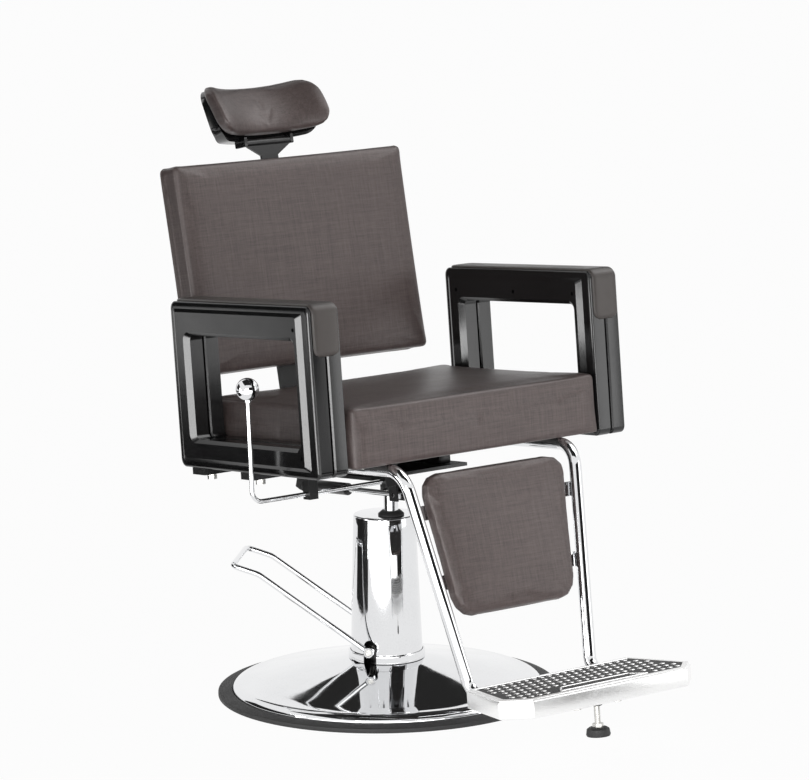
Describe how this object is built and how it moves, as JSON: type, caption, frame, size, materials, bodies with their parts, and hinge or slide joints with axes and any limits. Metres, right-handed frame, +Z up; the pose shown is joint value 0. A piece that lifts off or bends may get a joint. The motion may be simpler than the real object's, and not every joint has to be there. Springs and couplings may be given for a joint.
{
  "type": "barber chair",
  "caption": "Hydraulic barber chair with boxy upholstered seat and back, open black armrests, calf pad, footrest tray, sliding headrest, recline lever, pump pedal and round chrome base.",
  "frame": {"origin": "Centre of the round base on the floor, under the base plate.", "axes": "+Z up, the sitter faces -Y, the sitter's left is +X and the recline lever is at -X."},
  "size_m": [0.713, 1.0479, 1.0477],
  "materials": {
    "chrome": "polished",
    "zinc_steel": "satin",
    "polished_aluminium": "satin",
    "black_paint": "satin",
    "black_plastic": "gloss",
    "black_rubber": "matte",
    "soft_pad": "satin",
    "taupe_upholstery": "matte",
    "plywood": "matte"
  },
  "bodies": {
    "base": {"base_plate": "zinc_steel", "floor_ring": "black_rubber", "base_dome": "chrome", "pump_body": "black_paint", "column_cover": "chrome", "cover_band": "chrome", "rod_seal": "black_rubber"},
    "pedal": {"pump_pedal": "chrome", "pedal_shaft": "zinc_steel"},
    "piston": {"piston_rod": "chrome"},
    "foot": {"foot_stem": "zinc_steel", "foot_pad": "black_rubber"},
    "back": {"back_bracket": "black_paint", "back_board": "black_plastic", "back_cushion": "taupe_upholstery", "headrest_sleeve": "black_paint"},
    "strut": {"strut_cylinder": "black_paint"},
    "stem": {"headrest_stem": "black_paint"},
    "headrest": {"headrest_shell": "black_plastic", "headrest_pad": "taupe_upholstery", "headrest_pin": "zinc_steel"},
    "lever": {"recline_lever": "chrome", "lever_knob": "chrome"},
    "seat": {"upper_calf_strap": "chrome", "lower_calf_strap": "chrome", "left_leg_tube": "chrome", "right_leg_tube": "chrome", "strut_rod": "chrome", "swivel_hub": "zinc_steel", "left_arm_front_bolt": "zinc_steel", "left_arm_rear_bolt": "zinc_steel", "right_arm_front_bolt": "zinc_steel", "right_arm_rear_bolt": "zinc_steel", "left_tray_bolt": "zinc_steel", "right_tray_bolt": "zinc_steel", "hinge_pin": "zinc_steel", "footrest_tray": "polished_aluminium", "mount_plate": "black_paint", "seat_rail_left": "black_paint", "seat_rail_right": "black_paint", "middle_crossbar": "black_paint", "front_crossbar": "black_paint", "rear_crossbar": "black_paint", "foot_strap": "black_paint", "left_hinge_block": "black_paint", "right_hinge_block": "black_paint", "lever_bearing": "black_paint", "lever_hook": "black_paint", "swivel_collar": "black_plastic", "left_arm_outer_shell": "black_plastic", "left_arm_inner_shell": "black_plastic", "right_arm_outer_shell": "black_plastic", "right_arm_inner_shell": "black_plastic", "footrest_mat": "black_rubber", "left_arm_pad": "soft_pad", "right_arm_pad": "soft_pad", "seat_cushion": "taupe_upholstery", "calf_pad": "taupe_upholstery", "seat_board": "plywood", "calf_board": "plywood"}
  },
  "joints": [
    {"name": "lift", "type": "slide", "parent": "base", "child": "piston", "axis": [0, 0, 1], "range_m": [-0.03, 0.12]},
    {"name": "swivel", "type": "hinge", "parent": "piston", "child": "seat", "pos_m": [0, -0.02, 0.4], "axis": [0, 0, 1], "continuous": true},
    {"name": "recline", "type": "hinge", "parent": "seat", "child": "back", "pos_m": [0, 0.16602, 0.40461], "axis": [-1, 0, 0], "range_deg": [0, 45]},
    {"name": "strut_slide", "type": "slide", "parent": "seat", "child": "strut", "axis": [0, -0.9966, 0.0828], "range_m": [0, 0.0422]},
    {"name": "headrest_height", "type": "slide", "parent": "back", "child": "stem", "axis": [0, 0.2053, 0.9787], "range_m": [0, 0.08]},
    {"name": "headrest_tilt", "type": "hinge", "parent": "stem", "child": "headrest", "pos_m": [0, 0.33289, 0.95201], "axis": [1, 0, 0], "range_deg": [-25, 15]},
    {"name": "lever_pull", "type": "hinge", "parent": "seat", "child": "lever", "pos_m": [0, -0.11492, 0.40488], "axis": [1, 0, 0], "range_deg": [0, 12], "stiffness_Nm_per_rad": 1, "springref_deg": -5.73},
    {"name": "pedal_pump", "type": "hinge", "parent": "base", "child": "pedal", "pos_m": [-0.01582, 0.01528, 0.087], "axis": [-0.6947, -0.7193, 0], "range_deg": [0, 25], "stiffness_Nm_per_rad": 4, "springref_deg": -20.05},
    {"name": "foot_screw", "type": "slide", "parent": "seat", "child": "foot", "axis": [0, 0.0828, 0.9966], "range_m": [0, 0.008]}
  ],
  "couplings": [
    {"joint": "strut_slide", "follows": "recline", "m_per_rad": 0.0536}
  ]
}
